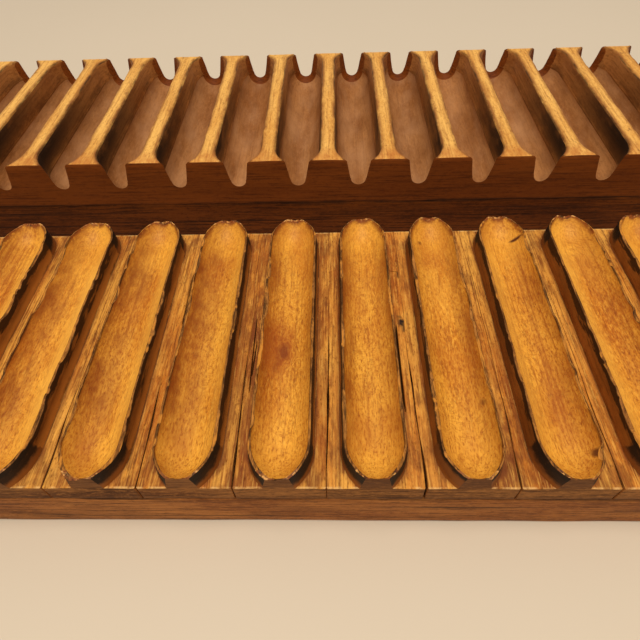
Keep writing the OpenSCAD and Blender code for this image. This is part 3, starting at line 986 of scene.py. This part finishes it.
def wear_presser(piece, number):
    """Chips the rims of a presser and makes its walls, hollow and channels uneven."""
    rng = random.Random(100 + number)
    points = points_of(piece)
    across, along = points[:, 0] - block_x(number), points[:, 1] - TOP_HALF_Y
    rise = points[:, 2] - CHANNEL_FLOOR
    side = np.sign(across)
    outline = np.abs(across) - half_width(along, RIM_HALF)

    chips = list(common_chips(rng)) + BREAKS.get(number, [])
    worn = 0.35 + 0.35 * swell(points * (0, 1, 0) + side[:, None], (1, 7, 1), number)
    broken = np.max([chip.depth_at(across, along) for chip in chips], axis=0)
    loss = worn + broken + 0.1 * swell(points, (1.5, 1.6, 1.5), number)
    loss = loss * (1 - 0.65 * smooth_step(along, BODY_HALF_L - 3, BODY_HALF_L + 2))
    cap = RIM_H - np.maximum(loss, 0)
    outer = outline > -RIM_T * 0.6
    lean = np.where(outer, -0.12, 0.1) * (1 + swell(points, (2, 2, 2), number + 40))
    cap = np.minimum(cap + lean, RIM_H)
    lowered = rise > cap
    outer_half = half_width(along, presser_half(cap))
    new_half = np.where(outer, outer_half, np.minimum(hollow_half(along, cap), outer_half - 0.1))
    points[:, 0] = np.where(lowered, block_x(number) + side * new_half, points[:, 0])
    points[:, 2] = np.where(lowered, CHANNEL_FLOOR + cap, points[:, 2])
    neck = smooth_step(np.abs(along), BODY_HALF_L + 7, HALF_DEPTH / 2)
    inner_rim = (outline < -0.3) & (outline > -1.4) & (rise > RIM_H - 1.2)
    points[:, 2] -= 0.3 * neck * inner_rim
    at_lip = (np.abs(along) > HALF_DEPTH / 2 - 0.7) & (rise > RIM_H - 1.2)
    points[:, 2] -= at_lip * 0.35 * np.maximum(swell(points, (0.9, 0.9, 0.9), number + 50), 0)

    normals = normals_of(piece)
    top = smooth_step(rise, -0.2, 0.2)
    in_hollow = (outline < -0.5) & (rise < RIM_H - 0.5)
    on_wall = (outline > -0.05) & (rise > 0.1)
    uneven = 0.07 * swell(points, (5, 12, 5), number + 10) * in_hollow
    uneven += 0.14 * swell(points, (2, 3.2, 2), number + 20) * on_wall
    on_channel = (outline > 0.8) & (rise > -0.35)
    uneven += on_channel * 0.16 * swell(points, (1.4, 14, 1.4), number + 30)
    uneven += on_channel * 0.1 * swell(points, (0.9, 2.6, 0.9), number + 31)
    points += normals * (uneven * top)[:, None]
    sunk = split_depth(number, across, along) * (outline > 0.3) * (np.abs(rise) < 0.35)
    points[:, 2] -= sunk
    wear_seams(points, number)
    set_points(piece, points)

    set_attribute(piece, "outline", outline)
    set_attribute(piece, "chip", np.clip(broken * 1.5, 0, 1))
    set_attribute(piece, "mark", np.maximum(marks_at(number, across, along), np.clip(sunk * 2, 0, 1)))
    set_attribute(piece, "far_end", smooth_step(np.abs(along), 24, 46))
    at_edge = (np.abs(along) > HALF_DEPTH / 2 - 0.35) & (rise > -0.35) & (rise < 0.3)
    set_attribute(piece, "edge", at_edge)
    to_lip = HALF_DEPTH / 2 - np.abs(along) + np.where(along > 0, 0, 0.4)
    inset = np.minimum(-outline, to_lip)
    reach = np.where(along > 0, 1.8, 1.0)
    in_taper = smooth_step(np.abs(along), BODY_HALF_L - 2, BODY_HALF_L + 2)
    set_attribute(piece, "taper", in_taper)
    set_attribute(piece, "inset", inset)
    set_attribute(piece, "lip", in_taper * (1 - smooth_step(inset, 0.3 * reach, reach)))
    tone = land_tone(number, across, along)
    set_attribute(piece, "soil", np.clip(tone, 0, 1))
    set_attribute(piece, "pale", 0.6 * np.clip(-tone, 0, 1))
    # By default the left side is darkened by stain and painted shade and the right side gets a painted highlight in
    # the left half, the other way round in the right half
    usual = (0.7, -0.5) if number <= BLOCKS / 2 else (-0.5, 0.7)
    left, right = HOLLOW_STAIN_AND_SHADE.get(number, usual)
    if left * right < 0:
        strength = left + (right - left) * smooth_step(across, -7, 7)
    else:
        strength = np.where(across < 0, left, right) * smooth_step(np.abs(across), 2.2, 7.0)
    strength = strength * (1 - 0.6 * smooth_step(np.abs(along), 24, 46))
    set_attribute(piece, "calm", smooth_step(along, 4, 34))
    set_attribute(piece, "residue_and_shade", np.full(len(points), UNDER_RIM_RESIDUE_AND_SHADE.get(number, 0.4)))
    set_attribute(piece, "streaky", np.full(len(points), STREAKY.get(number, 0.1)))
    # The first carries stain with painted shade, the second a painted highlight
    set_attribute(piece, "stain", np.clip(strength, 0, 1))
    set_attribute(piece, "painted_highlight", np.clip(-strength, 0, 1))


def form_key(node):
    """Tells blocks of one form from those that have screw holes in other places."""
    low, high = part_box(node)
    middle = (low.x + high.x) / 2
    places = [v.co.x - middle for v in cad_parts[node].data.vertices]
    return round(sum(places) / len(places) / MM)


def copies_of_forms(prefix, make_form):
    """One piece for each block of a half; blocks of one form share the work on it."""
    forms = {}
    pieces = {}
    for number in range(1, BLOCKS + 1):
        key = form_key(f"{prefix}_block_{number:02d}")
        if key not in forms:
            forms[key] = number, make_form(number)
        first, form = forms[key]
        piece = form.copy()
        piece.data = form.data.copy()
        piece.name = f"{prefix}_{number:02d}"
        bpy.context.scene.collection.objects.link(piece)
        points = points_of(piece)
        points[:, 0] += block_x(number) - block_x(first)
        set_points(piece, points)
        pieces[number] = piece
    for _, form in forms.values():
        bpy.data.objects.remove(form)
    return pieces


def make_pressers():
    for number, piece in copies_of_forms("presser", presser_form).items():
        cut_splits(piece, number)
        wear_presser(piece, number)
        finish_piece(piece, "top_half", "presser_wood", f"presser_block_{number:02d}")


# Cavities


def cavity_region(number):
    """The region of a face of a cavity block, from its middle in mm and its normal."""

    def region(middle, normal):
        across, along = middle.x - block_x(number), middle.y - BOTTOM_HALF_Y
        depth = MOUTH_TOP - middle.z
        inside = abs(across) < half_width(along, MOUTH_HALF) + 0.01
        if abs(normal.y) > 0.6 or normal.z < -0.9 or abs(across) > PITCH / 2 - 0.01:
            return "face"
        if depth < 0.5 and normal.z > 0.4:
            return "ridge"
        if not inside:
            return "ridge"
        return "floor" if depth > CENTRE_DEPTH + 0.6 else "wall"

    return region


MOUTH_WEAR = 0.8


def cavity_form(number):
    """A cavity block cut fine enough to be worn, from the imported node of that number."""
    rng = random.Random(500 + number)
    form = merged_copy(f"cavity_block_{number:02d}", f"cavity_form_{number:02d}")
    x = block_x(number)

    def is_mouth_edge(a, b):
        at_top = all(abs(v.z - MOUTH_TOP) < 0.01 for v in (a, b))
        on_mouth = all(
            abs(abs(v.x - x) - half_width(v.y - BOTTOM_HALF_Y, MOUTH_HALF)) < 0.06 for v in (a, b)
        )
        return at_top and on_mouth

    def is_worn_edge(a, b):
        at_top = all(abs(v.z - MOUTH_TOP) < 0.01 for v in (a, b))
        at_end = all(abs(abs(v.y - BOTTOM_HALF_Y) - HALF_DEPTH / 2) < 0.01 for v in (a, b))
        return is_mouth_edge(a, b) or (at_top and at_end and abs(a.y - b.y) < 1)

    start_editing(form, "EDGE")
    select_edges(form, is_worn_edge)
    bpy.ops.mesh.bevel(offset=MOUTH_WEAR * MM, segments=2, affect="EDGES")
    bpy.ops.mesh.select_mode(type="FACE")

    def is_ridge(middle, normal):
        return normal.z > 0.95 and abs(middle.z - MOUTH_TOP) < 0.01

    def is_end(middle, normal):
        return abs(normal.y) > 0.95

    def is_wall(middle, normal):
        inside = abs(middle.x - x) < PITCH / 2 - 0.1 and middle.z > MOUTH_TOP - CENTRE_DEPTH
        return abs(normal.z) < 0.4 and inside and abs(normal.y) < 0.95

    across = [x + p for p in stations(-PITCH / 2, PITCH / 2, FLAT_STEP, 0.2, rng)]
    cut_faces(form, is_ridge, 0, across)
    cut_faces(form, is_end, 0, across)
    cut_faces(form, is_end, 2, [MOUTH_TOP - depth for depth in (3, 6, 9, 12, 15.5)])
    cut_faces(form, is_wall, 2, [MOUTH_TOP - depth for depth in (2, 4, 6, 7.6)])
    half = HALF_DEPTH / 2
    cut_through(1, [BOTTOM_HALF_Y + p for p in stations(-half, half, 1.3, 0.3, rng)])
    stop_editing()
    give_materials(form, CAVITY_FINISHES, cavity_region(number))
    return form


def wear_cavity(piece, number):
    """Wears the ridges of a cavity block and makes its walls and floor uneven."""
    points = points_of(piece)
    normals = normals_of(piece)
    across, along = points[:, 0] - block_x(number), points[:, 1] - BOTTOM_HALF_Y
    depth = MOUTH_TOP - points[:, 2]
    outline = np.abs(across) - half_width(along, MOUTH_HALF)
    near_mouth = smooth_step(np.abs(outline), 1.4, 0.1) * smooth_step(depth, 1.5, 0.2)
    bite = np.maximum(swell(points, (2.2, 4.5, 2.2), 60), 0)
    points[:, 2] -= 0.55 * near_mouth * bite
    on_ridge = (outline > -0.3) & (depth < 0.8)
    inside = (outline < 0) & (depth > 0.8)
    points[:, 2] += on_ridge * 0.14 * swell(points, (1.6, 9, 1.6), 70)
    points += normals * (inside * 0.12 * swell(points, (4, 9, 4), 80))[:, None]
    set_points(piece, points)
    set_attribute(piece, "outline", outline)


def make_cavities():
    for number, piece in copies_of_forms("cavity", cavity_form).items():
        wear_cavity(piece, number)
        finish_piece(piece, "bottom_half", "cavity_wood", f"cavity_block_{number:02d}")


# Boards, end blocks and pins


def worn_copy(node, name, edge_wear, steps, unevenness, finish):
    """A merged copy of a node with worn edges, cut along each axis by steps and made uneven."""
    piece = merged_copy(node, name)
    low, high = (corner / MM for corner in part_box(node))
    start_editing(piece, "EDGE")

    def is_box_edge(a, b):
        shared = 0
        for axis in range(3):
            for face in (low[axis], high[axis]):
                shared += abs(a[axis] - face) < 0.01 and abs(b[axis] - face) < 0.01
        return shared >= 2

    select_edges(piece, is_box_edge)
    bpy.ops.mesh.bevel(offset=edge_wear * MM, segments=3, affect="EDGES")
    for axis, step in enumerate(steps):
        if step:
            rng = random.Random(f"{name}{axis}")
            cut_through(axis, stations(low[axis], high[axis], step, 0.25, rng))
    stop_editing()
    points = points_of(piece)
    size = (14, 5, 3) if steps[0] and steps[0] > 3 else (4, 9, 4)
    points += normals_of(piece) * (unevenness * swell(points, size, len(name)))[:, None]
    points[:, 2] = np.maximum(points[:, 2], low[2])
    set_points(piece, points)
    for old in list(piece.data.materials):
        piece.data.materials.clear()
    piece.data.materials.append(finish)
    return piece


def make_boards():
    for half, finish in (("top", TOP_BOARD), ("bottom", BOTTOM_BOARD)):
        node = f"{half}_base_board"
        board = worn_copy(node, f"{half}_board", 0.7, (5, 0, 4), 0.18, finish)
        finish_piece(board, f"{half}_half", f"{half}_board_wood", node)


def make_end_blocks():
    for half, finish in (("top", PRESSER_FINISHES["channel"]), ("bottom", CAVITY_FINISHES["ridge"])):
        for side in ("left", "right"):
            node = f"{half}_end_block_{side}"
            block = worn_copy(node, f"{half}_end_{side}", 0.5, (2.5, 3, 3), 0.12, finish)
            cut_end = END if half == "top" else CAVITY_FINISHES["face"]
            block.data.materials.append(cut_end)
            for face in block.data.polygons:
                face.material_index = 0 if face.normal.z > 0.5 else 1
            for name, value in (("outline", 5.0), ("soil", 0.2)):
                set_attribute(block, name, np.full(len(block.data.vertices), value))
            finish_piece(block, f"{half}_half", "end_wood", node)


def make_pins():
    finish = pin_finish()
    for side in ("left", "right"):
        node = f"locating_pin_{side}"
        pin = merged_copy(node, f"pin_{side}")
        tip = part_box(node)[1].z / MM
        start_editing(pin, "EDGE")
        select_edges(pin, lambda a, b: a.z > MOUTH_TOP + 1 and b.z > MOUTH_TOP + 1 and abs(a.z - b.z) < 0.01)
        bpy.ops.mesh.bevel(offset=0.5 * MM, segments=3, affect="EDGES")
        cut_through(2, [MOUTH_TOP + (tip - MOUTH_TOP) * k / 8 for k in range(1, 8)])
        stop_editing()
        points = points_of(pin)
        above = smooth_step(points[:, 2], MOUTH_TOP + 0.2, MOUTH_TOP + 1)
        points += normals_of(pin) * (0.06 * above * swell(points, (2, 2, 3), 3))[:, None]
        set_points(pin, points)
        pin.data.materials.append(finish)
        finish_piece(pin, "bottom_half", "pin_wood", node)


def finish_screws():
    finish = screw_finish()
    for node in ("bottom_screws", "top_screws"):
        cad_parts[node].material_slots[0].material = finish


# Table, light and camera


def make_table():
    bpy.ops.mesh.primitive_plane_add(size=16)
    table = bpy.context.object
    table.name = "table"
    finish = bpy.data.materials.new("table_cream")
    finish.use_nodes = True
    tree = finish.node_tree
    shader = tree.nodes["Principled BSDF"]
    place = add(tree, "TexCoord").outputs["Object"]
    cloud = add(tree, "TexNoise", {"Vector": place, "Scale": 3.0, "Detail": 4.0}).outputs[0]
    shade = mix(tree, cloud, paint(218, 201, 177), paint(209, 192, 167))
    fill(tree, shader.inputs["Base Color"], shade)
    shader.inputs["Roughness"].default_value = 0.7
    table.data.materials.append(finish)
    table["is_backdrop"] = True


def area_light(name, place, size, power, colour):
    light = bpy.data.lights.new(name, "AREA")
    light.shape = "DISK"
    light.size = size
    light.energy = power
    light.color = colour
    made = bpy.data.objects.new(name, light)
    made.location = place
    made.rotation_euler = (-Vector(place)).to_track_quat("-Z", "Y").to_euler()
    bpy.context.scene.collection.objects.link(made)


def make_light():
    area_light("window", (0.0, -0.26, 1.2), 0.7, 11.0, (1.0, 0.95, 0.88))
    world = bpy.data.worlds.new("room")
    world.use_nodes = True
    sky = world.node_tree.nodes["Background"]
    sky.inputs["Color"].default_value = (1.0, 0.93, 0.84, 1)
    sky.inputs["Strength"].default_value = 0.5
    bpy.context.scene.world = world


# The camera stands close in front of the mould and looks down on it
LENS_MM = 28.125
CAMERA_AT = (0.0025, TOP_HALF_Y * MM - 0.1002, 0.1541)
PITCH_DOWN = math.radians(50.30)
ROLL = math.radians(2.62)
YAW = math.radians(2.76)


def make_camera():
    right = Vector((math.cos(YAW), math.sin(YAW), 0))
    level = math.cos(PITCH_DOWN)
    ahead = Vector((-math.sin(YAW) * level, math.cos(YAW) * level, -math.sin(PITCH_DOWN)))
    down = ahead.cross(right)
    image_right = right * math.cos(ROLL) + down * math.sin(ROLL)
    image_down = down * math.cos(ROLL) - right * math.sin(ROLL)
    turn = Matrix((image_right, -image_down, -ahead)).transposed()
    data = bpy.data.cameras.new("camera")
    data.lens = LENS_MM
    data.sensor_width = 36
    data.clip_start = 0.01
    camera = bpy.data.objects.new("camera", data)
    camera.matrix_world = Matrix.Translation(CAMERA_AT) @ turn.to_4x4()
    bpy.context.scene.collection.objects.link(camera)
    bpy.context.scene.camera = camera


make_pressers()
make_cavities()
make_boards()
make_end_blocks()
make_pins()
finish_screws()
make_table()
make_light()
make_camera()

bpy.context.scene.view_settings.view_transform = "Standard"
boxes = {"cad": cad_box, "visual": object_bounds()}
{name: [list(corner) for corner in box] for name, box in boxes.items()}
